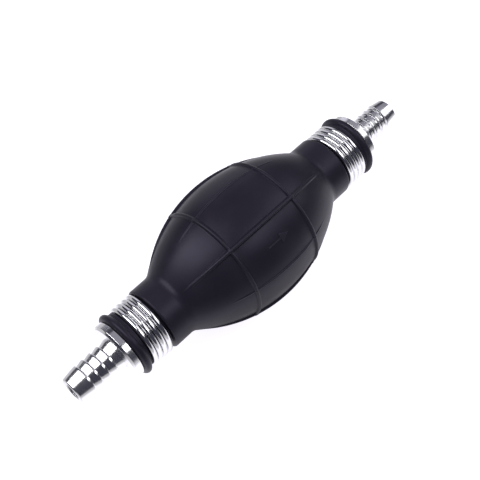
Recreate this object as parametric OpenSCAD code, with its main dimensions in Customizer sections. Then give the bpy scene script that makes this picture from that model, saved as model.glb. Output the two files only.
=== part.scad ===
// Hand-squeezed bulb pump for 9.5 mm hose: a ribbed rubber bulb with a hose fitting
// clamped into each neck, and a one-way valve cartridge inside each fitting.
// X is the flow axis, from the inlet at -X to the outlet at +X, and Z is up.

/* [Bulb] */
// Largest diameter of the smooth wall
bulb_d = 42; // [41.6:0.1:43]
// Radius of the wall's lengthwise arc
arc_r = 51; // [50:0.1:52]
// Thickness of the rubber wall
wall = 2.8; // [2.2:0.1:3.2]
// Radius of the hollow fillet where the wall runs into the collar
collar_fillet = 4; // [2:0.5:5]
// Number of lengthwise ribs, evenly spaced, of which every second one is thin
rib_count = 8; // [4:4:8]
// Height of the bold ribs at the middle of the bulb
rib_h = 1; // [0.8:0.05:1.2]
// Radius of the round top of bold ribs and ring ribs
rib_r = 0.6; // [0.5:0.05:0.6]
// Where the bold ribs fade into the wall
rib_end_x = 29; // [27:0.1:29.4]
// Height of the thin ribs at the middle of the bulb
thin_rib_h = 0.4; // [0.3:0.05:0.5]
// Radius of the thin ribs' round top
thin_rib_r = 0.35; // [0.3:0.05:0.4]
// Where the thin ribs fade into the wall
thin_rib_end_x = 20; // [18:0.5:22]
// Height of the ring ribs
ring_h = 0.7; // [0.6:0.05:0.8]
// Distance of each ring rib from the middle
ring_x = 12.7; // [12.4:0.1:13]

/* [Neck] */
// Diameter of the collar beside the clamp
collar_d = 21.2; // [21:0.1:21.6]
// Length from the middle to the collar's shoulder
collar_x = 38.5; // [38:0.1:38.8]
// Diameter of the groove that the clamp is wound into
clamp_seat_d = 17.3; // [16.8:0.1:17.6]
// Diameter of the free neck between clamp and bead
neck_d = 19; // [18.6:0.1:19.6]
// Diameter over the bead at the neck's mouth
bead_d = 21.8; // [21:0.1:22.4]
// Radius of the bead's round edge
bead_r = 1.2; // [1:0.05:1.4]
// Length from the middle to the neck's mouth
mouth_x = 50.4; // [50.2:0.1:51]

/* [Clamp] */
// Thickness of the clamp's wire
clamp_wire = 1.8; // [1.6:0.05:1.8]
// Turns of wire in each clamp
clamp_turns = 3.6; // [3:0.1:3.8]
// Distance between turns
clamp_pitch = 1.91; // [1.84:0.01:1.94]

/* [Fitting] */
// Overall length of the pump over both hose tips
overall_l = 139.2; // [139:0.1:142]
// Diameter of the flange
flange_d = 19.3; // [18:0.1:20]
// Thickness of the flange
flange_t = 2.6; // [2.4:0.1:3]
// Diameter over the barbs' crests
barb_d = 10.4; // [10:0.1:10.8]
// Diameter at the root of each barb
barb_root_d = 9.2; // [8.8:0.1:9.4]
// Diameter at the hose tip
tip_d = 8.9; // [8.4:0.1:9.2]
// Bore through the barbed stem
bore_d = 5.5; // [5:0.1:6]
// Number of barbs behind the one at the tip
barb_count = 4; // [3:1:4]
// Distance from crest to crest
barb_pitch = 2.78; // [2.7:0.01:2.9]
// Diameter of the shank inside the neck
shank_d = 13.8; // [13.6:0.1:14.4]
// Length from the middle to the shank's end
shank_x = 34; // [33:0.1:34.2]

/* [Valve] */
// Diameter of the valve chamber in the shank
chamber_d = 10.8; // [10.6:0.1:11]
// Hole through the valve seat
orifice_d = 4.8; // [4.6:0.1:5]
// Diameter of the poppet's disc
poppet_d = 7.8; // [7.4:0.1:8]
// Diameter of the poppet's stem
stem_d = 1.8; // [1.6:0.1:2]
// Radial running clearance round the stem
stem_gap = 0.06; // [0.04:0.01:0.1]
// How far the poppet lifts
poppet_lift = 2; // [1:0.1:2]
// Thickness of the valve spring's wire
spring_wire = 0.4; // [0.3:0.05:0.4]
// Mean diameter of the valve spring
spring_d = 4; // [3.8:0.1:4.4]

/* [Squeeze panels] */
// Length of the panel that thumb or finger presses
panel_l = 22; // [18:0.1:22]
// Height of that panel, between two ribs
panel_h = 13.6; // [12:0.1:13.6]
// Radius of the panel's corners
panel_corner = 1.5; // [1:0.1:3]
// Free gap left round each panel
panel_gap = 0.3; // [0.2:0.05:0.4]

/* [Hidden] */
$fn = 96;
over = 1; // how far cutting shapes run past the faces they cut
fit_gap = 0.05; // radial play of the cartridge's loose parts

rubber = [0.11, 0.11, 0.12];
aluminium = [0.82, 0.83, 0.85];
plated_steel = [0.72, 0.74, 0.77];
brass = [0.80, 0.66, 0.35];
nylon = [0.92, 0.91, 0.86];
seal_rubber = [0.18, 0.16, 0.15];
spring_steel = [0.60, 0.61, 0.63];

// Wall: a circular arc whose centre lies below the axis
arc_drop = arc_r - bulb_d / 2;
function wall_r(x) = sqrt(arc_r ^ 2 - x ^ 2) - arc_drop;

// Fillet circle that touches the wall's arc from outside and the collar from above
fillet_r = collar_d / 2 + collar_fillet;
fillet_x = sqrt((arc_r + collar_fillet) ^ 2 - (fillet_r + arc_drop) ^ 2);
fillet_share = arc_r / (arc_r + collar_fillet);
fillet_start = [fillet_share * (fillet_r + arc_drop) - arc_drop, fillet_share * fillet_x];

// Neck
shoulder_edge = 0.5;
clamp_slack = 0.1; // free length at each end of the wound clamp
clamp_climb = clamp_pitch * clamp_turns;
clamp_end_x = collar_x + clamp_climb + clamp_wire + 2 * clamp_slack;
clamp_steps_a_turn = 36;
clamp_sides = 10;
clamp_start_angle = 92; // both cut ends of the wire lie low at the sides

// Fitting
tip_x = overall_l / 2;
flange_x = mouth_x + flange_t;
flange_edge = 0.7;
tip_edge = 0.3;
crest_land = 0.35;
crest_back = 0.35;
crest_x = flange_x + 0.4; // foot of the barb that stands next to the flange
chamber_end_x = mouth_x + 1;
shank_edge = 0.5;
shank_groove_w = 1.4;
shank_groove_depth = 0.3;
shank_groove_xs = [39, 42, 45];
snap_x = shank_x + 0.9;
snap_t = 0.7;
snap_depth = 0.5;

// Valve cartridge, measured from its upstream face along the flow
cage_end = chamber_end_x - snap_x - snap_t;
seat_t = 3;
seat_d = chamber_d - 2 * fit_gap;
lip_h = 0.4;
lip_w = 0.6;
seal_t = 1;
seal_d = poppet_d - 0.4;
seal_touch = 0.02; // gap between the seal and the seat's lip when shut
seal_face = seat_t + lip_h + seal_touch;
disc_t = 1.2;
disc_face = seal_face + seal_t;
boss_d = 2.8;
boss_t = 0.6;
nose_d = 2.6;
nose_head_d = 3.4;
nose_head_t = 0.6;
cage_wall = 0.8;
spider_t = 1.8;
spider_face = cage_end - (poppet_lift + 0.2) - spider_t;
spider_arms = 3;
arm_w = 1.2;
hub_d = 4.8;
stem_end = spider_face + spider_t + 0.2;
seat_ring_t = 1.04;
seat_groove_w = 1.2;
seat_groove_floor_d = seat_d - 2 * (seat_ring_t + fit_gap);
spring_l = spider_face - disc_face - disc_t;
spring_turns = 6;
spring_closed_turns = 0.8;
spring_touch = 0.02; // gap between the spring's end turns and what they press on
spring_steps_a_turn = 20;
spring_sides = 6;
ring_w = 1; // radial width of the snap ring
ear_r = 0.95;
ear_hole_r = 0.45;
ear_angle = 17; // from the middle of the snap ring's gap to each ear

// ---- helpers ----

// Lays a shape made along +Z along +X
module along_x() {
  rotate([0, 90, 0]) children();
}

// Makes a shape of the outlet end into the same shape at the inlet end
module at_inlet() {
  mirror([1, 0, 0]) children();
}

// Places cartridge parts, which are made along the flow from the cartridge's upstream face
module in_inlet() {
  translate([-chamber_end_x, 0, 0]) along_x() children();
}

module in_outlet() {
  translate([snap_x + snap_t, 0, 0]) along_x() children();
}

module tube(d_out, d_in, h) {
  rotate_extrude() translate([d_in / 2, 0]) square([(d_out - d_in) / 2, h]);
}

// One ring of points round a coil's wire, where the wire's centre stands at this angle and height
function coil_ring(mean_r, wire_r, sides, angle, height) = [
  for (k = [0:sides - 1])
    let (a = 360 * (k + 0.5) / sides, r = mean_r + wire_r * cos(a))
      [r * cos(angle), r * sin(angle), height + wire_r * sin(a)]
];

// Coil of round wire. heights holds the height of the wire's centre after each step
module coil(mean_r, wire_r, turns, sides, heights) {
  steps = len(heights) - 1;
  points = [
    for (i = [0:steps])
      each coil_ring(mean_r, wire_r, sides, 360 * turns * i / steps, heights[i])
  ];
  skin = [
    for (i = [0:steps - 1], k = [0:sides - 1])
      let (a = i * sides + k, b = i * sides + (k + 1) % sides)
        [a, a + sides, b + sides, b]
  ];
  first_cap = [for (k = [0:sides - 1]) k];
  last_cap = [for (k = [1:sides]) (steps + 1) * sides - k];
  polyhedron(points, concat([first_cap], skin, [last_cap]), convexity = 8);
}

// ---- bulb ----

// Half outline of collar, clamp groove and bead, as [radius, distance from the middle]
module neck_outline() {
  polygon([
    [0, 0],
    [collar_d / 2, 0],
    [collar_d / 2, collar_x - shoulder_edge],
    [collar_d / 2 - shoulder_edge, collar_x],
    [clamp_seat_d / 2, collar_x],
    [clamp_seat_d / 2, clamp_end_x],
    [neck_d / 2, clamp_end_x],
    [neck_d / 2, mouth_x - bead_r],
    [bead_d / 2 - bead_r, mouth_x - bead_r],
    [bead_d / 2 - bead_r, mouth_x],
    [0, mouth_x]
  ]);
  translate([bead_d / 2 - bead_r, mouth_x - bead_r]) circle(r = bead_r);
}

// Fills the corner between the wall's arc and the collar with a hollow fillet
module fillet_outline() {
  difference() {
    polygon([[0, fillet_start[1]], fillet_start, [collar_d / 2, fillet_x], [0, fillet_x]]);
    translate([fillet_r, fillet_x]) circle(r = collar_fillet);
  }
}

module bulb_outline() {
  intersection() {
    translate([-arc_drop, 0]) circle(r = arc_r);
    translate([0, -fillet_x]) square([bulb_d, 2 * fillet_x]);
  }
  for (end = [0, 1]) mirror([0, end]) {
    neck_outline();
    fillet_outline();
  }
}

module cavity_outline() {
  intersection() {
    translate([-arc_drop, 0]) circle(r = arc_r - wall);
    translate([0, -mouth_x]) square([bulb_d, 2 * mouth_x]);
  }
  translate([0, -mouth_x - over]) square([shank_d / 2, 2 * (mouth_x + over)]);
}

// Section of a rib with flat sides and a round top, which lies this far from the turning axis
module rib_section(top, r) {
  translate([top - r, 0]) circle(r = r);
  translate([top - 2.5 * r, -r]) square([1.5 * r, 2 * r]);
}

module ring_rib() {
  rotate_extrude() rib_section(wall_r(ring_x) + ring_h, rib_r);
}

// A rib along the bulb's top: part of a torus that sinks into the wall at end_x
module long_rib(h, r, end_x) {
  fall = bulb_d / 2 + h - wall_r(end_x);
  torus_r = (end_x ^ 2 + fall ^ 2) / (2 * fall);
  reach = asin(end_x / torus_r) + 2;
  translate([0, 0, bulb_d / 2 + h - torus_r])
    rotate([90, 0, 0]) rotate([0, 0, 90 - reach])
      rotate_extrude(angle = 2 * reach) rib_section(torus_r, r);
}

// The whole rubber moulding, from which the squeeze panels are parted
module bulb_moulding() {
  difference() {
    union() {
      along_x() rotate_extrude() bulb_outline();
      for (x = [-ring_x, ring_x]) translate([x, 0, 0]) along_x() ring_rib();
      for (i = [0:2:rib_count - 1]) {
        rotate([360 * (i + 0.5) / rib_count, 0, 0]) long_rib(rib_h, rib_r, rib_end_x);
        rotate([360 * (i + 1.5) / rib_count, 0, 0]) long_rib(thin_rib_h, thin_rib_r, thin_rib_end_x);
      }
    }
    along_x() rotate_extrude() cavity_outline();
  }
}

// Rounded block that runs out along +Y through the far side of the bulb
module panel_block(gap) {
  l = panel_l + 2 * gap;
  h = panel_h + 2 * gap;
  c = panel_corner + gap;
  rotate([-90, 0, 0]) linear_extrude(bulb_d) {
    square([l - 2 * c, h], center = true);
    square([l, h - 2 * c], center = true);
    for (x = [-1, 1], z = [-1, 1]) translate([x * (l / 2 - c), z * (h / 2 - c)]) circle(r = c);
  }
}

module bulb() {
  color(rubber) difference() {
    bulb_moulding();
    for (side = [0, 1]) mirror([0, side, 0]) panel_block(panel_gap);
  }
}

// Piece of wall between two ribs that fingers press in
module finger_panel() {
  color(rubber) intersection() {
    bulb_moulding();
    panel_block(0);
  }
}

module thumb_panel() {
  mirror([0, 1, 0]) finger_panel();
}

// ---- clamps ----

module outlet_clamp() {
  steps = round(clamp_turns * clamp_steps_a_turn);
  color(plated_steel) translate([collar_x + clamp_slack + clamp_wire / 2, 0, 0]) along_x()
    rotate([0, 0, clamp_start_angle])
      coil((clamp_seat_d + clamp_wire) / 2 + fit_gap, clamp_wire / 2, clamp_turns, clamp_sides,
        [for (i = [0:steps]) clamp_climb * i / steps]);
}

module inlet_clamp() {
  at_inlet() outlet_clamp();
}

// ---- fittings ----

// Outline of the barbed stem: each barb is a cone towards the tip with a steep back
module stem_outline() {
  crests = [for (i = [0:barb_count]) crest_x + i * barb_pitch];
  polygon(concat(
    [
      [bore_d / 2, chamber_end_x],
      [barb_root_d / 2, chamber_end_x],
      [barb_root_d / 2, crest_x - crest_back]
    ],
    [
      for (i = [0:barb_count]) each [
        [barb_d / 2, crests[i]],
        [barb_d / 2, crests[i] + crest_land],
        if (i < barb_count) [barb_root_d / 2, crests[i + 1] - crest_back]
      ]
    ],
    [
      [tip_d / 2, tip_x - tip_edge],
      [tip_d / 2 - tip_edge, tip_x],
      [bore_d / 2 + tip_edge, tip_x],
      [bore_d / 2, tip_x - tip_edge]
    ]
  ));
}

module flange_outline() {
  polygon([
    [bore_d / 2, chamber_end_x],
    [chamber_d / 2, chamber_end_x],
    [chamber_d / 2, mouth_x],
    [flange_d / 2 - flange_edge / 2, mouth_x],
    [flange_d / 2, mouth_x + flange_edge / 2],
    [flange_d / 2, flange_x - flange_edge],
    [flange_d / 2 - flange_edge, flange_x],
    [bore_d / 2, flange_x]
  ]);
}

// Shank inside the neck, with grooves that the squeezed rubber grips
module shank_outline() {
  difference() {
    polygon([
      [chamber_d / 2, shank_x + tip_edge],
      [chamber_d / 2 + tip_edge, shank_x],
      [shank_d / 2 - shank_edge, shank_x],
      [shank_d / 2, shank_x + shank_edge],
      [shank_d / 2, chamber_end_x],
      [chamber_d / 2, chamber_end_x]
    ]);
    for (x = shank_groove_xs)
      translate([shank_d / 2 - shank_groove_depth, x]) square([over, shank_groove_w]);
    translate([chamber_d / 2 - over, snap_x]) square([snap_depth + over, snap_t]);
  }
}

module outlet_fitting() {
  color(aluminium) along_x() rotate_extrude() {
    stem_outline();
    flange_outline();
    shank_outline();
  }
}

module inlet_fitting() {
  at_inlet() outlet_fitting();
}

// ---- valve cartridges, made along the flow ----

// Seat disc with a raised lip downstream and a groove for its sealing ring
module valve_seat() {
  color(brass) rotate_extrude() difference() {
    union() {
      translate([orifice_d / 2, 0]) square([(seat_d - orifice_d) / 2, seat_t]);
      translate([orifice_d / 2, 0]) square([lip_w, seat_t + lip_h]);
    }
    translate([seat_groove_floor_d / 2, (seat_t - seat_groove_w) / 2])
      square([seat_d, seat_groove_w]);
  }
}

module seat_ring() {
  color(seal_rubber) translate([0, 0, seat_t / 2]) rotate_extrude()
    translate([(seat_groove_floor_d + seat_ring_t) / 2 + fit_gap, 0])
      circle(d = seat_ring_t, $fn = 48);
}

// Open tube that holds the seat in place and guides the poppet's stem in a spider
module valve_cage() {
  color(nylon) {
    translate([0, 0, seat_t]) tube(seat_d, seat_d - 2 * cage_wall, cage_end - seat_t);
    translate([0, 0, spider_face]) {
      tube(hub_d, stem_d + 2 * stem_gap, spider_t);
      for (i = [0:spider_arms - 1]) rotate([0, 0, 360 * i / spider_arms])
        translate([(hub_d - arm_w / 2) / 2, -arm_w / 2, 0])
          cube([(seat_d - hub_d + arm_w / 2 - cage_wall) / 2, arm_w, spider_t]);
    }
  }
}

module poppet() {
  color(brass) rotate_extrude() polygon([
    [0, seal_face - nose_head_t],
    [nose_head_d / 2 - tip_edge, seal_face - nose_head_t],
    [nose_head_d / 2, seal_face - nose_head_t + tip_edge],
    [nose_head_d / 2, seal_face],
    [nose_d / 2, seal_face],
    [nose_d / 2, disc_face],
    [poppet_d / 2, disc_face],
    [poppet_d / 2, disc_face + disc_t - tip_edge],
    [poppet_d / 2 - tip_edge, disc_face + disc_t],
    [boss_d / 2, disc_face + disc_t],
    [boss_d / 2, disc_face + disc_t + boss_t],
    [stem_d / 2, disc_face + disc_t + boss_t],
    [stem_d / 2, stem_end - tip_edge],
    [stem_d / 2 - tip_edge, stem_end],
    [0, stem_end]
  ]);
}

module poppet_seal() {
  color(seal_rubber) translate([0, 0, seal_face])
    tube(seal_d, nose_d + 2 * fit_gap, seal_t);
}

// Height of the spring wire's centre after t turns: closed end turns, open ones between
function spring_height(t) =
  let (
    close = spring_wire * 1.05,
    whole = spring_l - spring_wire - 2 * spring_touch,
    open = (whole - 2 * close * spring_closed_turns) / (spring_turns - 2 * spring_closed_turns)
  )
  t < spring_closed_turns ? close * t
  : t > spring_turns - spring_closed_turns ? whole - close * (spring_turns - t)
  : close * spring_closed_turns + open * (t - spring_closed_turns);

module valve_spring() {
  color(spring_steel)
    translate([0, 0, disc_face + disc_t + spring_touch + spring_wire / 2])
      coil(spring_d / 2, spring_wire / 2, spring_turns, spring_sides,
        [for (i = [0:spring_turns * spring_steps_a_turn]) spring_height(i / spring_steps_a_turn)]);
}

// Spring ring in the shank's inner groove, with two ears for the pliers
module snap_ring() {
  outer_r = chamber_d / 2 + snap_depth - fit_gap;
  color(spring_steel) translate([snap_x, 0, 0]) along_x()
    linear_extrude(snap_t - fit_gap) difference() {
      union() {
        difference() {
          circle(r = outer_r);
          circle(r = outer_r - ring_w);
          polygon([[0, 0], for (a = [-ear_angle, ear_angle]) 2 * outer_r * [cos(a), sin(a)]]);
        }
        intersection() {
          circle(r = outer_r);
          for (a = [-ear_angle, ear_angle]) rotate(a) translate([outer_r - ring_w, 0])
            circle(r = ear_r);
        }
      }
      for (a = [-ear_angle, ear_angle]) rotate(a) translate([outer_r - ring_w, 0])
        circle(r = ear_hole_r);
    }
}

module inlet_valve_seat() { in_inlet() valve_seat(); }
module outlet_valve_seat() { in_outlet() valve_seat(); }
module inlet_seat_ring() { in_inlet() seat_ring(); }
module outlet_seat_ring() { in_outlet() seat_ring(); }
module inlet_valve_cage() { in_inlet() valve_cage(); }
module outlet_valve_cage() { in_outlet() valve_cage(); }
module inlet_poppet() { in_inlet() poppet(); }
module outlet_poppet() { in_outlet() poppet(); }
module inlet_poppet_seal() { in_inlet() poppet_seal(); }
module outlet_poppet_seal() { in_outlet() poppet_seal(); }
module inlet_valve_spring() { in_inlet() valve_spring(); }
module outlet_valve_spring() { in_outlet() valve_spring(); }
module outlet_snap_ring() { snap_ring(); }
module inlet_snap_ring() { at_inlet() snap_ring(); }

bulb();
thumb_panel();
finger_panel();
inlet_fitting();
outlet_fitting();
inlet_clamp();
outlet_clamp();
inlet_valve_seat();
outlet_valve_seat();
inlet_seat_ring();
outlet_seat_ring();
inlet_valve_cage();
outlet_valve_cage();
inlet_poppet();
outlet_poppet();
inlet_poppet_seal();
outlet_poppet_seal();
inlet_valve_spring();
outlet_valve_spring();
inlet_snap_ring();
outlet_snap_ring();
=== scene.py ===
import math
import bpy
import numpy as np
from mathutils import Matrix


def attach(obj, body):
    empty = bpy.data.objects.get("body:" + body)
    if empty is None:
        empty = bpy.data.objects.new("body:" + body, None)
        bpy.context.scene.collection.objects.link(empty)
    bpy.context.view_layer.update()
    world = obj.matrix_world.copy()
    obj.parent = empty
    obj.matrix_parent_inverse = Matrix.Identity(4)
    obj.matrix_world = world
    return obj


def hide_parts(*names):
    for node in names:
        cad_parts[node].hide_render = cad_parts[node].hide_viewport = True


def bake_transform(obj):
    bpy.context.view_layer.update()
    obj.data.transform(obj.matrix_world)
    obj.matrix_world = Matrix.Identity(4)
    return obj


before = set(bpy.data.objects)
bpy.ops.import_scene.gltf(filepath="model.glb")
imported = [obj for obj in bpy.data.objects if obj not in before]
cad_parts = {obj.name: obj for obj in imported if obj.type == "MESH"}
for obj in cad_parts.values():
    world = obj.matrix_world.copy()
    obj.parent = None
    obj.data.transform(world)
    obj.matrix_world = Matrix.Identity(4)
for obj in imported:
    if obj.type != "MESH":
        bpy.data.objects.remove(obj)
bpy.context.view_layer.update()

MM = 0.001

# ---- sizes in millimetres: the solids' own, but for a slightly fuller neck and a thicker flange ----

# rubber bulb
BULB_R = 21.0
ARC_R = 51.0
WALL = 2.8
COLLAR_FILLET = 4.0
RIBS = 8
RIB_H = 1.0
RIB_R = 0.6
RIB_END_X = 29.0
THIN_RIB_H = 0.4
THIN_RIB_R = 0.35
THIN_RIB_END_X = 20.0
RING_H = 0.7
RING_X = 12.7

# its neck: collar, groove for the clamp and bead, where x is measured from the middle of the bulb
COLLAR_R = 10.6
COLLAR_X = 38.5
SHOULDER_ROUND = 0.6
CLAMP_SEAT_R = 8.65
GROOVE_ROUND = 0.3
NECK_R = 9.7
BEAD_R = 10.9
BEAD_ROUND = 1.2
MOUTH_R = 8.3
MOUTH_X = 50.4

# wound clamp
WIRE = 1.8
CLAMP_TURNS = 3.6
CLAMP_PITCH = 1.91
CLAMP_START = 92.0
CLAMP_SLACK = 0.1
CLAMP_GAP = 0.05
CLAMP_CLIMB = CLAMP_PITCH * CLAMP_TURNS
CLAMP_END_X = COLLAR_X + CLAMP_CLIMB + WIRE + 2 * CLAMP_SLACK
LAST_LAP_X = COLLAR_X + CLAMP_SLACK + WIRE + CLAMP_PITCH * (CLAMP_TURNS - 1)

# barbed fitting
TIP_X = 69.6
TIP_R = 4.45
TIP_EDGE = 0.3
FLANGE_R = 9.65
FLANGE_T = 2.9
FLANGE_EDGE = 0.7
BARB_R = 5.2
BARB_ROOT_R = 4.6
BARB_START_X = 53.4
BARB_COUNT = 4
BARB_PITCH = 2.78
CREST_LAND = 0.35
CREST_BACK = 0.35
BORE_R = 2.75
SHANK_R = 6.9
SHANK_X = 34.0
SHANK_EDGE = 0.5
SHANK_GROOVES_X = (39, 42, 45)
SHANK_GROOVE_W = 1.4
SHANK_GROOVE_DEPTH = 0.3
CHAMBER_R = 5.4
CHAMBER_END_X = MOUTH_X + 1
SNAP_X = SHANK_X + 0.9
SNAP_T = 0.7
SNAP_DEPTH = 0.5

# valve, along the flow from its seat
SEAT_T = 3.0
LIP_H = 0.4
TOUCH = 0.02
SEAL_T = 1.0
DISC_T = 1.2
DISC_BACK = SEAT_T + LIP_H + TOUCH + SEAL_T + DISC_T
LIFT = 2.0
STOP_PLAY = 0.2
SPIDER_T = 1.8
CAGE_END = CHAMBER_END_X - SNAP_X - SNAP_T
SPIDER_FACE = CAGE_END - SPIDER_T - LIFT - STOP_PLAY
SPRING_WIRE = 0.4
SPRING_R = 2.0
SPRING_TURNS = 6
SPRING_CLOSED_TURNS = 0.8

ENDS = (("inlet", -1), ("outlet", 1))


# ---- surfaces ----

def grid_normals(grid, wrap_rows, wrap_cols):
    """Normal at each point of a grid: the cross product of the two chords that join its neighbours along
    the columns and along the rows, made one unit long. A grid that closes on itself wraps round."""
    def chord(axis, wrap):
        ahead, behind = np.roll(grid, -1, axis), np.roll(grid, 1, axis)
        if not wrap:
            first = [slice(None)] * 3
            last = [slice(None)] * 3
            first[axis], last[axis] = 0, -1
            behind[tuple(first)] = grid[tuple(first)]
            ahead[tuple(last)] = grid[tuple(last)]
        return ahead - behind

    normal = np.cross(chord(0, wrap_rows), chord(1, wrap_cols))
    return normal / np.maximum(np.linalg.norm(normal, axis=2, keepdims=True), 1e-12)


def grid_faces(rows, cols, wrap_rows, wrap_cols):
    """Four corners of every cell of a grid, so that a cell's normal is its row chord crossed with its
    column chord."""
    i = np.arange(rows if wrap_rows else rows - 1)[:, None]
    j = np.arange(cols if wrap_cols else cols - 1)[None, :]
    i2, j2 = (i + 1) % rows, (j + 1) % cols
    return np.stack([i * cols + j, i2 * cols + j, i2 * cols + j2, i * cols + j2], axis=-1).reshape(-1, 4)


def make_piece(name, points, faces, finish, normals=None, caps=(), marks=None):
    """Piece with these points, in millimetres, these four-cornered faces and any caps of more corners.
    marks maps an attribute's name to one number for each point."""
    mesh = bpy.data.meshes.new(name)
    mesh.from_pydata((np.asarray(points) * MM).tolist(), [], faces.tolist() + [list(c) for c in caps])
    mesh.polygons.foreach_set("use_smooth", np.ones(len(mesh.polygons), bool))
    for mark, values in (marks or {}).items():
        mesh.attributes.new(mark, "FLOAT", "POINT").data.foreach_set("value", values)
    mesh.materials.append(finish)
    mesh.update()
    if normals is not None:
        mesh.normals_split_custom_set_from_vertices(normals.tolist())
    piece = bpy.data.objects.new(name, mesh)
    bpy.context.scene.collection.objects.link(piece)
    return piece


def rounded_loop(corners, arc_steps):
    """Closed outline whose corners are rounded. Each corner is (x, r, radius): the arc of that radius that
    touches both sides, taken in equal angles about its centre on the corner's bisector."""
    c = np.array(corners, float)
    p, radius = c[:, :2], np.maximum(c[:, 2], 1e-3)
    to_last = np.roll(p, 1, 0) - p
    to_next = np.roll(p, -1, 0) - p
    to_last /= np.linalg.norm(to_last, axis=1, keepdims=True)
    to_next /= np.linalg.norm(to_next, axis=1, keepdims=True)
    half = np.arccos(np.clip((to_last * to_next).sum(1), -1, 1)) / 2
    bisector = to_last + to_next
    bisector /= np.linalg.norm(bisector, axis=1, keepdims=True)
    centre = p + bisector * (radius / np.sin(half))[:, None]
    start = p + to_last * (radius / np.tan(half))[:, None] - centre
    end = p + to_next * (radius / np.tan(half))[:, None] - centre
    first = np.arctan2(start[:, 1], start[:, 0])
    turn = (np.arctan2(end[:, 1], end[:, 0]) - first + math.pi) % (2 * math.pi) - math.pi
    angle = first[:, None] + turn[:, None] * np.linspace(0, 1, arc_steps)
    arc = centre[:, None] + radius[:, None, None] * np.stack([np.cos(angle), np.sin(angle)], -1)
    return arc.reshape(-1, 2)


def turned(profile, columns):
    """Grid of a profile, as (x, r), turned about the X axis: y = -r sin(a), z = r cos(a)."""
    a = np.arange(columns) * 2 * math.pi / columns
    x = np.repeat(profile[:, :1], columns, 1)
    return np.stack([x, -profile[:, 1:] * np.sin(a), profile[:, 1:] * np.cos(a)], -1)


def anticlockwise(profile):
    """The same closed outline, run so that the faces of its turned grid look outwards."""
    x, r = profile.T
    area = (x * np.roll(r, -1) - np.roll(x, -1) * r).sum()
    return profile if area > 0 else profile[::-1]


def turned_piece(name, corners, finish, columns, arc_steps):
    """Ring-shaped piece: a closed outline with rounded corners, turned about the X axis."""
    grid = turned(anticlockwise(rounded_loop(corners, arc_steps)), columns)
    faces = grid_faces(len(grid), columns, True, True)
    normals = grid_normals(grid, True, True).reshape(-1, 3)
    return make_piece(name, grid.reshape(-1, 3), faces, finish, normals)


def wound_wire(centre_x, angle, mean_r, wire_r, sides=16):
    """Grid of a round wire whose centre runs at mean_r about the X axis, at each given x and angle. The
    section is a circle across the wire's run. Each end's edge is rounded: its rings stand back and grow
    along a quarter circle."""
    c = np.stack([centre_x, mean_r * np.sin(angle), -mean_r * np.cos(angle)], -1)
    out = np.stack([np.zeros_like(angle), np.sin(angle), -np.cos(angle)], -1)
    run = np.gradient(c, axis=0)
    run /= np.linalg.norm(run, axis=1, keepdims=True)
    side = np.cross(out, run)
    edge, edge_rings = 0.35 * wire_r, 5
    quarter = np.linspace(0, math.pi / 2, edge_rings)
    back, grown = edge * (1 - np.cos(quarter)), wire_r - edge * (1 - np.sin(quarter))
    last = len(c) - 1
    at = np.concatenate([np.zeros(edge_rings, int), np.arange(1, last), np.full(edge_rings, last)])
    shift = np.concatenate([back, np.zeros(last - 1), -back[::-1]])
    size = np.concatenate([grown, np.full(last - 1, wire_r), grown[::-1]])
    round_it = np.arange(sides) * 2 * math.pi / sides
    ring = (out[at, None] * np.cos(round_it)[None, :, None]
            + side[at, None] * np.sin(round_it)[None, :, None])
    middle = c[at] + run[at] * shift[:, None]
    return middle[:, None] + ring * size[:, None, None]


# ---- finishes ----

def new_finish(name, colour, roughness, metallic=0.0, **sockets):
    """Material with a Principled shader whose constants stand on its own sockets."""
    finish = bpy.data.materials.new(name)
    finish.use_nodes = True
    finish.diffuse_color = (*colour, 1)
    shader = finish.node_tree.nodes["Principled BSDF"]
    shader.inputs["Base Color"].default_value = (*colour, 1)
    shader.inputs["Roughness"].default_value = roughness
    shader.inputs["Metallic"].default_value = metallic
    for socket, value in sockets.items():
        shader.inputs[socket.replace("_", " ")].default_value = value
    return finish


def node(finish, kind, **settings):
    """New node of a finish. A setting named as a socket sets the socket, and any other the node itself."""
    made = finish.node_tree.nodes.new(kind)
    for key, value in settings.items():
        if key in made.inputs:
            made.inputs[key].default_value = value
        else:
            setattr(made, key, value)
    return made


def join(finish, source, target):
    """Link from one socket of a finish to another."""
    finish.node_tree.links.new(source, target)


def place(finish, stretch=(1, 1, 1), shift=(0, 0, 0)):
    """Object coordinates, stretched and then shifted by a Mapping node."""
    coords = node(finish, "ShaderNodeTexCoord")
    mapping = node(finish, "ShaderNodeMapping", Scale=stretch, Location=shift)
    join(finish, coords.outputs["Object"], mapping.inputs["Vector"])
    return mapping.outputs["Vector"]


def speckle(finish, where, scale, detail, coarse):
    """Noise of that scale at these coordinates, from 0 to 1."""
    made = node(finish, "ShaderNodeTexNoise", Scale=scale, Detail=detail, Roughness=coarse)
    join(finish, where, made.inputs["Vector"])
    return made.outputs["Fac"]


def spread(finish, source, low, high, start=0.3, end=0.7):
    """Number that runs from low to high as the source goes from start to end."""
    made = node(finish, "ShaderNodeMapRange", interpolation_type="SMOOTHSTEP")
    for key, value in (("From Min", start), ("From Max", end), ("To Min", low), ("To Max", high)):
        made.inputs[key].default_value = value
    join(finish, source, made.inputs["Value"])
    return made.outputs["Result"]


def tint(finish, share, first, second):
    """Colour that goes from first to second with the share."""
    made = node(finish, "ShaderNodeMix", data_type="RGBA")
    colours = [s for s in made.inputs if s.type == "RGBA"]
    for socket, colour in zip(colours, (first, second)):
        if isinstance(colour, tuple):
            socket.default_value = (*colour, 1)
        else:
            join(finish, colour, socket)
    join(finish, share, made.inputs["Factor"])
    return [s for s in made.outputs if s.type == "RGBA"][0]


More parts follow.
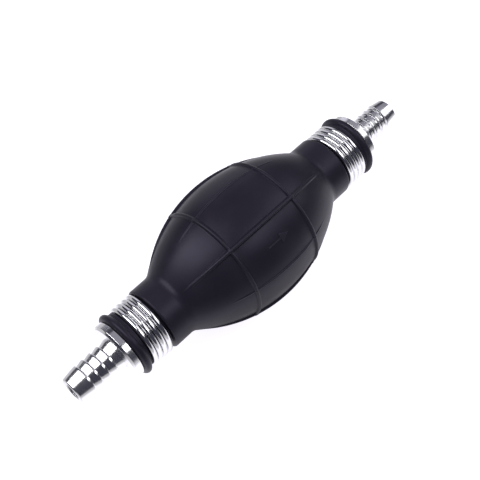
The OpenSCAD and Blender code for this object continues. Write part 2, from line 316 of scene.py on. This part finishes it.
def relief(finish, height, strength, depth, under=None):
    """Bump of that depth in metres, on top of another bump if one is given."""
    made = node(finish, "ShaderNodeBump", Strength=strength, Distance=depth)
    join(finish, height, made.inputs["Height"])
    if under is not None:
        join(finish, under, made.inputs["Normal"])
    return made.outputs["Normal"]


def shader_of(finish):
    """The Principled shader of a finish."""
    return finish.node_tree.nodes["Principled BSDF"]


def bulb_rubber():
    """Black moulded rubber: fine grain and pits, cloudy bloom, and ribs that are rubbed a little paler."""
    finish = new_finish("bulb_rubber", (0.0115, 0.0102, 0.0170), 0.38, IOR=1.5,
                        Specular_IOR_Level=0.25, Specular_Tint=(0.80, 0.76, 1.0, 1))
    shader = shader_of(finish)
    where = place(finish)
    cloud = speckle(finish, where, 60, 6, 0.6)
    grain = speckle(finish, where, 2600, 2, 0.5)
    pits = speckle(finish, where, 700, 3, 0.6)
    ridge = node(finish, "ShaderNodeAttribute", attribute_name="ridge")
    colour = tint(finish, spread(finish, cloud, 0, 1), (0.0100, 0.0088, 0.0152), (0.0130, 0.0115, 0.0190))
    colour = tint(finish, spread(finish, ridge.outputs["Fac"], 0, 0.45, 0.4, 1.0), colour,
                  (0.020, 0.018, 0.027))
    join(finish, colour, shader.inputs["Base Color"])
    join(finish, spread(finish, cloud, 0.34, 0.42), shader.inputs["Roughness"])
    normal = relief(finish, grain, 0.35, 0.00003)
    normal = relief(finish, spread(finish, pits, 0, 1, 0.25, 0.4), 0.25, 0.00004, normal)
    join(finish, normal, shader.inputs["Normal"])
    return finish


def turned_metal(name, colour, roughness):
    """Turned metal: tool marks that run round the X axis, and hazy patches."""
    finish = new_finish(name, colour, roughness, 1.0)
    shader = shader_of(finish)
    haze = speckle(finish, place(finish), 90, 5, 0.6)
    dim, bright = [tuple(min(1, c * share) for c in colour) for share in (0.93, 1.04)]
    join(finish, tint(finish, spread(finish, haze, 0, 1), dim, bright), shader.inputs["Base Color"])
    join(finish, spread(finish, haze, roughness * 0.8, roughness * 1.25), shader.inputs["Roughness"])
    rings = speckle(finish, place(finish, (1, 0.01, 0.01)), 900, 3, 0.6)
    join(finish, relief(finish, rings, 0.3, 0.00001), shader.inputs["Normal"])
    return finish


def drawn_wire(name, colour, roughness):
    """Drawn steel wire: bright, with faint dull patches and fine scratches."""
    finish = new_finish(name, colour, roughness, 1.0)
    shader = shader_of(finish)
    where = place(finish)
    dull = speckle(finish, where, 260, 4, 0.6)
    scratch = speckle(finish, where, 2200, 2, 0.5)
    dim = tuple(c * 0.94 for c in colour)
    join(finish, tint(finish, spread(finish, dull, 0, 1), dim, colour), shader.inputs["Base Color"])
    join(finish, spread(finish, dull, roughness * 0.85, roughness * 1.25), shader.inputs["Roughness"])
    join(finish, relief(finish, scratch, 0.04, 0.000006), shader.inputs["Normal"])
    return finish


def moulded(name, colour, roughness):
    """Plain moulded plastic or rubber: slight clouding and a fine grain."""
    finish = new_finish(name, colour, roughness)
    shader = shader_of(finish)
    where = place(finish)
    cloud = speckle(finish, where, 300, 4, 0.6)
    dim = tuple(c * 0.88 for c in colour)
    join(finish, tint(finish, spread(finish, cloud, 0, 1), dim, colour), shader.inputs["Base Color"])
    join(finish, spread(finish, cloud, roughness * 0.85, roughness * 1.15), shader.inputs["Roughness"])
    grain = speckle(finish, where, 3000, 2, 0.5)
    join(finish, relief(finish, grain, 0.25, 0.00002), shader.inputs["Normal"])
    return finish


RUBBER = bulb_rubber()
ALUMINIUM = turned_metal("fitting_aluminium", (0.90, 0.90, 0.92), 0.19)
CLAMP_STEEL = drawn_wire("clamp_steel", (0.86, 0.86, 0.88), 0.12)
BRASS = turned_metal("valve_brass", (0.78, 0.60, 0.30), 0.25)
SPRING_STEEL = drawn_wire("spring_steel", (0.56, 0.56, 0.58), 0.25)
NYLON = moulded("cage_nylon", (0.78, 0.76, 0.68), 0.42)
SEAL = moulded("seal_rubber", (0.03, 0.028, 0.027), 0.45)

# the valve pieces that are the solids' own, and what each is made of
CARRIED_OVER = {"valve_seat": BRASS, "poppet": BRASS, "seat_ring": SEAL, "poppet_seal": SEAL,
                "valve_cage": NYLON, "snap_ring": SPRING_STEEL}
for end, _ in ENDS:
    for part, finish in CARRIED_OVER.items():
        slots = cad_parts[f"{end}_{part}"].data.materials
        slots.clear()
        slots.append(finish)


# ---- bulb ----

def wall_r(x, arc=ARC_R):
    """Radius of the wall: a circular arc whose centre lies below the axis."""
    return np.sqrt(np.maximum(arc ** 2 - x ** 2, 0)) - (ARC_R - BULB_R)


def arc_points(centre, radius, first, last, steps):
    """Points of an arc, from the first angle to the last in degrees."""
    a = np.radians(np.linspace(first, last, steps))
    return np.stack([centre[0] + radius * np.cos(a), centre[1] + radius * np.sin(a)], -1)


def level(x, r):
    """Points at these x and at one radius."""
    return np.stack([x, np.full(len(x), r)], -1)


def smooth_step(share):
    """Share from 0 to 1, eased at both ends: 3 s^2 - 2 s^3."""
    return share * share * (3 - 2 * share)


def half_outline():
    """Outside of the bulb from its mouth to its middle, as (x, r): bead, neck, clamp groove, shoulder,
    collar, hollow fillet and the long arc of the wall. Every run is sampled finely enough to carry ribs."""
    fillet_r = COLLAR_R + COLLAR_FILLET
    drop = ARC_R - BULB_R
    fillet_x = math.sqrt((ARC_R + COLLAR_FILLET) ** 2 - (fillet_r + drop) ** 2)
    touch = math.degrees(math.atan2(fillet_r + drop, fillet_x))
    mouth = np.array([[MOUTH_X, SHANK_R], [MOUTH_X, MOUTH_R]])
    bead = arc_points((MOUTH_X - BEAD_ROUND, BEAD_R - BEAD_ROUND), BEAD_ROUND, 0, 180, 18)
    corner, shoulder = GROOVE_ROUND, SHOULDER_ROUND
    groove = level(np.linspace(CLAMP_END_X - corner, LAST_LAP_X - 0.2, 24)[1:], CLAMP_SEAT_R)
    neck = np.concatenate([
        arc_points((CLAMP_END_X + corner, NECK_R - corner), corner, 90, 180, 5),
        arc_points((CLAMP_END_X - corner, CLAMP_SEAT_R + corner), corner, 0, -90, 5),
        groove,
        arc_points((COLLAR_X + corner, CLAMP_SEAT_R + corner), corner, 270, 180, 5),
        arc_points((COLLAR_X - shoulder, COLLAR_R - shoulder), shoulder, 0, 90, 9)])
    collar = level(np.linspace(COLLAR_X - shoulder - 0.7, fillet_x + 0.5, 6), COLLAR_R)
    fillet = arc_points((fillet_x, fillet_r), COLLAR_FILLET, 270, 180 + touch, 10)
    wall_start_x = fillet_x * ARC_R / (ARC_R + COLLAR_FILLET)
    near_ring = 2.0
    wall_x = np.concatenate([np.linspace(wall_start_x, RING_X + near_ring, 40)[1:],
                             np.linspace(RING_X + near_ring, RING_X - near_ring, 41)[1:],
                             np.linspace(RING_X - near_ring, 0, 24)[1:]])
    wall = np.stack([wall_x, wall_r(wall_x)], -1)
    return np.concatenate([mouth, bead, neck, collar, fillet, wall])


def rib_cap(distance, height, round_r):
    """Height of a rib at a distance from its middle: a circular cap, then steep sides that fall below the
    wall along a smooth step, with a soft foot where they meet the wall."""
    side_w, soft = 0.2, 0.1
    d = np.abs(distance)
    side = smooth_step(1 - np.clip((d - round_r) / side_w, 0, 1))
    over, under = np.maximum(height - round_r, 0), np.minimum(height - round_r, 0)
    cap = np.where(d < round_r, np.sqrt(np.maximum(round_r ** 2 - d ** 2, 0)) + height - round_r,
                   (over + soft) * side - soft + under)
    return np.where(cap > soft, cap, np.where(cap < -soft, 0, (cap + soft) ** 2 / (4 * soft)))


def bulb_columns():
    """Angles round the bulb, close together over each rib and wider between ribs, in radians."""
    pitch, near = 360 / RIBS, 3.2
    one = np.concatenate([np.linspace(-near, near, 21)[:-1], np.linspace(near, pitch - near, 20)[:-1]])
    ribs = (np.arange(RIBS) + 0.5) * pitch
    return np.radians(np.sort((ribs[:, None] + one[None, :]).ravel() % 360))


def long_rib(x, r, off, height, round_r, end_x):
    """Lift of a lengthwise rib, whose top follows an arc that meets the wall at end_x, and which is sunk
    under the wall a little way past that."""
    past_end, sunk = 1.5, -1.0
    fall = BULB_R + height - wall_r(np.array(end_x))
    arc = (end_x ** 2 + fall ** 2) / (2 * fall)
    top = BULB_R + height - arc + np.sqrt(np.maximum(arc ** 2 - x ** 2, 0))
    stand = np.where(np.abs(x) < end_x + past_end, top - r, sunk)
    return rib_cap(r[:, None] * np.sin(off)[None, :], stand[:, None], round_r)


def neck_swell(x, r, columns):
    """How far the neck swells up beside the clamp's last lap. Past the wire's far edge, which climbs with
    the angle, the rubber rises from the clamp's groove to the neck's own radius."""
    turned_by = (np.degrees(columns) - 180 - CLAMP_START) % 360 / 360
    whole = math.floor(CLAMP_TURNS)
    laps = turned_by + np.where(turned_by <= CLAMP_TURNS - whole, whole, whole - 1)
    edge, rise_w = COLLAR_X + CLAMP_SLACK + WIRE + CLAMP_PITCH * laps, 0.25
    rise = smooth_step(np.clip((np.abs(x)[:, None] - edge[None, :]) / rise_w, 0, 1))
    in_groove = (np.abs(x) > COLLAR_X + 1) & (np.abs(x) <= CLAMP_END_X + 0.01)
    return np.where(in_groove[:, None], rise * (NECK_R - r)[:, None], 0)


def bulb_grid(columns):
    """Outside of the bulb as a grid of points, and how far each stands out as a rib, from 0 to 1. The
    outline is turned about the axis and pushed out along its normal by the ribs' height. Bold and thin
    lengthwise ribs take turns. Where a rib crosses a ring, the lift is the root of their squares' sum, held
    to 1.12 of the higher one."""
    half = half_outline()
    outline = np.concatenate([half, (half * [-1, 1])[-2::-1]])
    x, r = outline[:, 0], outline[:, 1]
    pitch = 2 * math.pi / RIBS
    off = (columns % pitch) - pitch / 2
    bold = long_rib(x, r, off, RIB_H, RIB_R, RIB_END_X)
    thin = long_rib(x, r, off, THIN_RIB_H, THIN_RIB_R, THIN_RIB_END_X)
    lengthwise = np.where(np.floor(columns / pitch) % 2 == 0, bold, thin)
    ring_rib = (rib_cap(np.abs(x) - RING_X, RING_H, RIB_R) * (np.abs(x) < 20))[:, None]
    both = np.sqrt(np.maximum(lengthwise, 0) ** 2 + ring_rib ** 2)
    lift = np.minimum(both, np.maximum(lengthwise, ring_rib) * 1.12)
    along = np.gradient(outline, axis=0)
    along /= np.linalg.norm(along, axis=1, keepdims=True)
    across = np.stack([along[:, 1], -along[:, 0]], -1)
    px = x[:, None] + lift * across[:, :1]
    pr = r[:, None] + lift * across[:, 1:] + neck_swell(x, r, columns)
    grid = np.stack([px, -pr * np.sin(columns), pr * np.cos(columns)], -1)
    return grid, lift / RIB_H


def cavity_grid(columns):
    """Inside of the bulb, from the inlet's mouth to the outlet's: the neck's bore or the wall's inner arc,
    whichever is wider. The bore clears the fitting's shank by a hair."""
    x = np.concatenate([np.linspace(-MOUTH_X, -34, 6), np.linspace(-33, 33, 67), np.linspace(34, MOUTH_X, 6)])
    r = np.maximum(wall_r(x, ARC_R - WALL), SHANK_R + 0.005)
    return np.stack([np.repeat(x[:, None], len(columns), 1), -r[:, None] * np.sin(columns),
                     r[:, None] * np.cos(columns)], -1)


def half_shell(name, pick, outside, ridge, inside):
    """One side of the rubber shell: the picked columns of the outside and the inside, closed by a cap where
    the wall is cut at the mould's parting line."""
    grid = np.concatenate([outside[:, pick], inside[:, pick]])
    marks = np.concatenate([ridge[:, pick], np.zeros(inside[:, pick].shape[:2])])
    rows, cols = grid.shape[:2]
    full = np.concatenate([outside, inside])
    normals = grid_normals(full, True, True)[:, pick]
    faces = grid_faces(rows, cols, True, False)
    first = np.arange(rows) * cols
    caps = [first[::-1].tolist(), (first + cols - 1).tolist()]
    return make_piece(name, grid.reshape(-1, 3), faces, RUBBER, normals.reshape(-1, 3),
                      caps, {"ridge": marks.ravel()})


COLUMNS = bulb_columns()
OUTSIDE, RIDGE = bulb_grid(COLUMNS)
INSIDE = cavity_grid(COLUMNS)
half_turn = int(np.argmin(np.abs(COLUMNS - math.pi)))
thumb_half = half_shell("bulb_thumb_half", np.arange(0, half_turn + 1), OUTSIDE, RIDGE, INSIDE)
finger_half = half_shell("bulb_finger_half", np.append(np.arange(half_turn, len(COLUMNS)), 0),
                         OUTSIDE, RIDGE, INSIDE)
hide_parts("bulb", "thumb_panel")
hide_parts("bulb", "finger_panel")


# ---- flow arrow ----

def flow_arrow():
    """Raised arrow that points along the flow: a patch of the wall, x along the flow and v round the bulb,
    that is lifted where a point lies inside the outline of the shaft or the head. It dips under the wall
    all round, and its sides and underside lie inside the wall."""
    shaft_middle, shaft_half_l, shaft_half_w = -1.0, 2.6, 0.34
    head_tip, head_foot, head_half_w = 4.9, 1.3, 1.8
    edge_w, height, dip, depth = 0.22, 0.30, 0.06, 0.5
    middle_angle = math.radians(41.5)
    x, v = np.meshgrid(np.linspace(-4.8, 5.4, 150), np.linspace(2.3, -2.3, 72), indexing="ij")
    shaft = np.maximum(np.abs(x - shaft_middle) - shaft_half_l, np.abs(v) - shaft_half_w)
    slope = head_half_w / (head_tip - head_foot)
    head = np.maximum(head_foot - x, (np.abs(v) - (head_tip - x) * slope) / math.hypot(1, slope))
    inside = np.clip(-np.minimum(shaft, head) / edge_w, 0, 1)
    angle = middle_angle + v / wall_r(x)
    high_r = wall_r(x) + height * smooth_step(inside) - dip
    low_r = wall_r(x) - depth
    top, bottom = [np.stack([x, -r * np.sin(angle), r * np.cos(angle)], -1) for r in (high_r, low_r)]
    rows, cols = x.shape
    up = grid_faces(rows, cols, False, False)
    rim = np.concatenate([np.arange(cols), np.arange(1, rows) * cols + cols - 1,
                          (rows - 1) * cols + np.arange(cols - 2, -1, -1),
                          np.arange(rows - 2, 0, -1) * cols])
    count = rows * cols
    after = np.roll(rim, -1)
    side = np.stack([rim, after, after + count, rim + count], -1)
    faces = np.concatenate([up, up[:, ::-1] + count, side])
    points = np.concatenate([top.reshape(-1, 3), bottom.reshape(-1, 3)])
    ridge = np.concatenate([inside.ravel(), np.zeros(count)])
    return make_piece("flow_arrow", points, faces, RUBBER, marks={"ridge": ridge})


arrow = flow_arrow()
for piece, body, side in ((thumb_half, "thumb_side", -1), (finger_half, "finger_side", 1),
                          (arrow, "thumb_side", -1)):
    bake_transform(piece)


# ---- fittings ----

def fitting_corners(side):
    """Outline of a fitting as (x, r, corner radius), from the shank's open end round to the bore."""
    flange_x = MOUTH_X + FLANGE_T
    crests = [BARB_START_X + i * BARB_PITCH for i in range(BARB_COUNT + 1)]
    corners = [(SHANK_X, SHANK_R - SHANK_EDGE, 0.1), (SHANK_X + SHANK_EDGE, SHANK_R, 0.1)]
    groove_r = SHANK_R - SHANK_GROOVE_DEPTH
    for groove in SHANK_GROOVES_X:
        corners += [(groove, SHANK_R, 0.05), (groove, groove_r, 0.05),
                    (groove + SHANK_GROOVE_W, groove_r, 0.05), (groove + SHANK_GROOVE_W, SHANK_R, 0.05)]
    corners += [(MOUTH_X, SHANK_R, 0.05), (MOUTH_X, FLANGE_R - FLANGE_EDGE / 2, 0.1),
                (MOUTH_X + FLANGE_EDGE / 2, FLANGE_R, 0.2),
                (flange_x - FLANGE_EDGE, FLANGE_R, 0.25), (flange_x, FLANGE_R - FLANGE_EDGE, 0.25),
                (flange_x, BARB_R, 0.02), (BARB_START_X + CREST_LAND, BARB_R, 0.12)]
    for crest in crests[1:]:
        corners += [(crest - CREST_BACK, BARB_ROOT_R, 0.08), (crest, BARB_R, 0.06),
                    (crest + CREST_LAND, BARB_R, 0.12)]
    corners += [(TIP_X - TIP_EDGE, TIP_R, 0.12), (TIP_X, TIP_R - TIP_EDGE, 0.12),
                (TIP_X, BORE_R + TIP_EDGE, 0.1), (TIP_X - TIP_EDGE, BORE_R, 0.1),
                (CHAMBER_END_X, BORE_R, 0.1), (CHAMBER_END_X, CHAMBER_R, 0.1),
                (SNAP_X + SNAP_T, CHAMBER_R, 0.05), (SNAP_X + SNAP_T, CHAMBER_R + SNAP_DEPTH, 0.05),
                (SNAP_X, CHAMBER_R + SNAP_DEPTH, 0.05), (SNAP_X, CHAMBER_R, 0.05),
                (SHANK_X + TIP_EDGE, CHAMBER_R, 0.05), (SHANK_X, CHAMBER_R + TIP_EDGE, 0.05)]
    return [(side * x, r, radius) for x, r, radius in corners]


for end, side in ENDS:
    piece = turned_piece(f"{end}_barb_fitting", fitting_corners(side), ALUMINIUM, 160, 5)
    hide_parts(f"{end}_fitting")
    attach(piece, "pump_body")


# ---- clamps and valve springs ----

def wire_piece(name, grid, finish):
    """Closed piece from a wire's grid, with a flat cap on each end."""
    rows, cols = grid.shape[:2]
    faces = grid_faces(rows, cols, False, True)
    caps = [np.arange(cols).tolist(), ((rows - 1) * cols + np.arange(cols))[::-1].tolist()]
    return make_piece(name, grid.reshape(-1, 3), faces, finish, None, caps)


for end, side in ENDS:
    turn = np.linspace(0, CLAMP_TURNS, int(CLAMP_TURNS * 72))
    x = side * (COLLAR_X + CLAMP_SLACK + WIRE / 2 + CLAMP_PITCH * turn)
    mean_r = CLAMP_SEAT_R + CLAMP_GAP + WIRE / 2
    grid = wound_wire(x, np.radians(CLAMP_START + 360 * turn), mean_r, WIRE / 2)
    piece = wire_piece(f"{end}_wound_clamp", grid, CLAMP_STEEL)
    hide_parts(f"{end}_clamp")
    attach(piece, "pump_body")

for end, upstream in (("inlet", -CHAMBER_END_X), ("outlet", SNAP_X + SNAP_T)):
    turn = np.linspace(0, SPRING_TURNS, SPRING_TURNS * 36)
    end_rise = SPRING_WIRE * 1.05 * SPRING_CLOSED_TURNS
    whole_rise = SPIDER_FACE - DISC_BACK - SPRING_WIRE - 2 * TOUCH
    rise = np.interp(turn, [0, SPRING_CLOSED_TURNS, SPRING_TURNS - SPRING_CLOSED_TURNS, SPRING_TURNS],
                     [0, end_rise, whole_rise - end_rise, whole_rise])
    x = upstream + DISC_BACK + TOUCH + SPRING_WIRE / 2 + rise
    grid = wound_wire(x, np.radians(360 * turn), SPRING_R, SPRING_WIRE / 2, 10)
    piece = wire_piece(f"{end}_coil_spring", grid, SPRING_STEEL)
    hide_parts(f"{end}_valve_spring")
    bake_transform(piece)


# ---- floor, light and camera ----

FLOOR_Z = -BULB_R * MM - 0.00002
FLOOR_HALF = 3.0


def ellipse_distance(finish, reach, middle=(0, 0)):
    """Distance from the middle on the floor, where 1 is an ellipse with these half axes, in metres."""
    stretch = (1 / reach[0], 1 / reach[1], 0)
    shift = (-middle[0] / reach[0], -middle[1] / reach[1], 0)
    made = node(finish, "ShaderNodeVectorMath", operation="LENGTH")
    join(finish, place(finish, stretch, shift), made.inputs[0])
    return made.outputs["Value"]


def product(finish, first, second):
    """Product of two factors, each a socket or a number."""
    made = node(finish, "ShaderNodeMath", operation="MULTIPLY")
    for socket, factor in zip(made.inputs, (first, second)):
        if isinstance(factor, float):
            socket.default_value = factor
        else:
            join(finish, factor, socket)
    return made.outputs[0]


def stage_finish(name, colour, glow, seen, mirrored):
    """Pale stage that glows for the camera and in reflections, and still takes the object's shadow. In
    reflections its glow is painted: a painted shadow under the bulb, where the bulb's own shade lies, and a
    painted pool of light that fades out far away."""
    finish = new_finish(name, colour, 0.9)
    path = node(finish, "ShaderNodeLightPath")
    shader = shader_of(finish)
    shader.inputs["Emission Color"].default_value = (*glow, 1)
    # painted pool of light: in reflections the floor's glow fades out beyond this ellipse round the object
    far = ellipse_distance(finish, (0.12, 0.08), (0.03, -0.02))
    # painted shadow: in reflections the floor's glow is dimmed under the bulb, where the bulb's shade lies
    painted_shadow_reach = ellipse_distance(finish, (0.040, 0.045))
    painted_reflection_glow = product(finish, spread(finish, far, mirrored, 0.12 * mirrored, 0.75, 1.25),
                          spread(finish, painted_shadow_reach, 0.3, 1.0, 0.7, 1.1))
    either = node(finish, "ShaderNodeMath", operation="MAXIMUM")
    join(finish, product(finish, path.outputs["Is Camera Ray"], seen), either.inputs[0])
    join(finish, product(finish, path.outputs["Is Glossy Ray"], painted_reflection_glow), either.inputs[1])
    join(finish, either.outputs[0], shader.inputs["Emission Strength"])
    return finish


def floor():
    """Level square floor that the bulb rests on."""
    mesh = bpy.data.meshes.new("floor")
    corners = [(-1, -1), (1, -1), (1, 1), (-1, 1)]
    mesh.from_pydata([(x * FLOOR_HALF, y * FLOOR_HALF, FLOOR_Z) for x, y in corners], [], [(0, 1, 2, 3)])
    mesh.materials.append(stage_finish("floor", (0.35, 0.35, 0.35), (0.93, 0.90, 1.0), 0.95, 0.92))
    piece = bpy.data.objects.new("floor", mesh)
    bpy.context.scene.collection.objects.link(piece)


def studio_world():
    """White to the camera, dark grey in reflections, and a soft even fill for everything else."""
    world = bpy.data.worlds.new("studio")
    bpy.context.scene.world = world
    world.use_nodes = True
    tree = world.node_tree
    tree.nodes.clear()
    output = tree.nodes.new("ShaderNodeOutputWorld")
    path = tree.nodes.new("ShaderNodeLightPath")
    fill, room, white = [tree.nodes.new("ShaderNodeBackground") for _ in range(3)]
    for light, colour, strength in ((fill, (1, 1, 1), 0.5), (room, (0.045, 0.046, 0.062), 1.0),
                                    (white, (1, 1, 1), 1.0)):
        light.inputs["Color"].default_value = (*colour, 1)
        light.inputs["Strength"].default_value = strength
    glossy, camera = [tree.nodes.new("ShaderNodeMixShader") for _ in range(2)]
    tree.links.new(path.outputs["Is Glossy Ray"], glossy.inputs["Fac"])
    tree.links.new(fill.outputs[0], glossy.inputs[1])
    tree.links.new(room.outputs[0], glossy.inputs[2])
    tree.links.new(path.outputs["Is Camera Ray"], camera.inputs["Fac"])
    tree.links.new(glossy.outputs[0], camera.inputs[1])
    tree.links.new(white.outputs[0], camera.inputs[2])
    tree.links.new(camera.outputs[0], output.inputs["Surface"])


def softbox(name, towards, distance, size, glow, roll=0.0, colour=(1, 1, 1)):
    """Rectangular lamp that stands in a direction from the object and shines at it. Its size is given
    along the flow axis and across it, before it rolls by so many degrees about its own direction. glow
    is its brightness as it is mirrored."""
    lamp = bpy.data.lights.new(name, "AREA")
    lamp.shape = "RECTANGLE"
    lamp.size, lamp.size_y = size
    lamp.energy = glow * math.pi * size[0] * size[1]
    lamp.color = colour
    d = np.array(towards, float)
    d /= np.linalg.norm(d)
    thing = bpy.data.objects.new(name, lamp)
    from_x = np.array([1.0, 0, 0]) - d[0] * d
    from_x /= np.linalg.norm(from_x)
    from_y = np.cross(d, from_x)
    c, s = math.cos(math.radians(roll)), math.sin(math.radians(roll))
    long_side, short_side = c * from_x + s * from_y, c * from_y - s * from_x
    thing.matrix_world = Matrix([[long_side[i], short_side[i], d[i], d[i] * distance] for i in range(3)]
                                + [[0, 0, 0, 1]])
    bpy.context.scene.collection.objects.link(thing)


def camera():
    """Camera with a 69.5 mm lens on a 36 mm sensor, 288 mm away, that looks down at the bulb from the thumb's
    side and from beyond the inlet."""
    lens_px, frame_px, sensor, away = 926.2, 480.0, 36.0, 287.6
    elevation, azimuth = math.radians(60.06), math.radians(-45.87)
    back = np.array([math.sin(azimuth) * math.cos(elevation), -math.cos(azimuth) * math.cos(elevation),
                     math.sin(elevation)])
    right = np.cross(-back, [0, 0, 1.0])
    right /= np.linalg.norm(right)
    up = np.cross(right, -back)
    aim = np.array([-0.804, 0.304, 0.207])
    eye = (aim + back * away) * MM
    data = bpy.data.cameras.new("camera")
    data.sensor_width = sensor
    data.lens = lens_px / frame_px * sensor
    data.clip_start, data.clip_end = 0.01, 20
    thing = bpy.data.objects.new("camera", data)
    thing.matrix_world = Matrix([[right[i], up[i], back[i], eye[i]] for i in range(3)] + [[0, 0, 0, 1]])
    bpy.context.scene.collection.objects.link(thing)
    bpy.context.scene.camera = thing


floor()
studio_world()
# each lamp's name, direction, distance in metres, size in metres and brightness
softbox("key", (-0.41, 0.40, 0.82), 0.7, (0.32, 0.79), 4.4)
softbox("side", (0.25, -0.50, 0.83), 0.7, (0.34, 0.28), 3.0, roll=30)
softbox("end", (0.75, -0.24, 0.61), 0.7, (0.40, 0.40), 1.7)
softbox("ceiling", (0.5, 0.2, 0.84), 0.95, (1.5, 1.1), 0.25, colour=(0.91, 0.89, 1))
softbox("back_card", (0.45, 0.87, 0.2), 0.8, (0.5, 0.45), 0.7, colour=(0.92, 0.9, 1))
camera()
bpy.context.scene.view_settings.view_transform = "Standard"
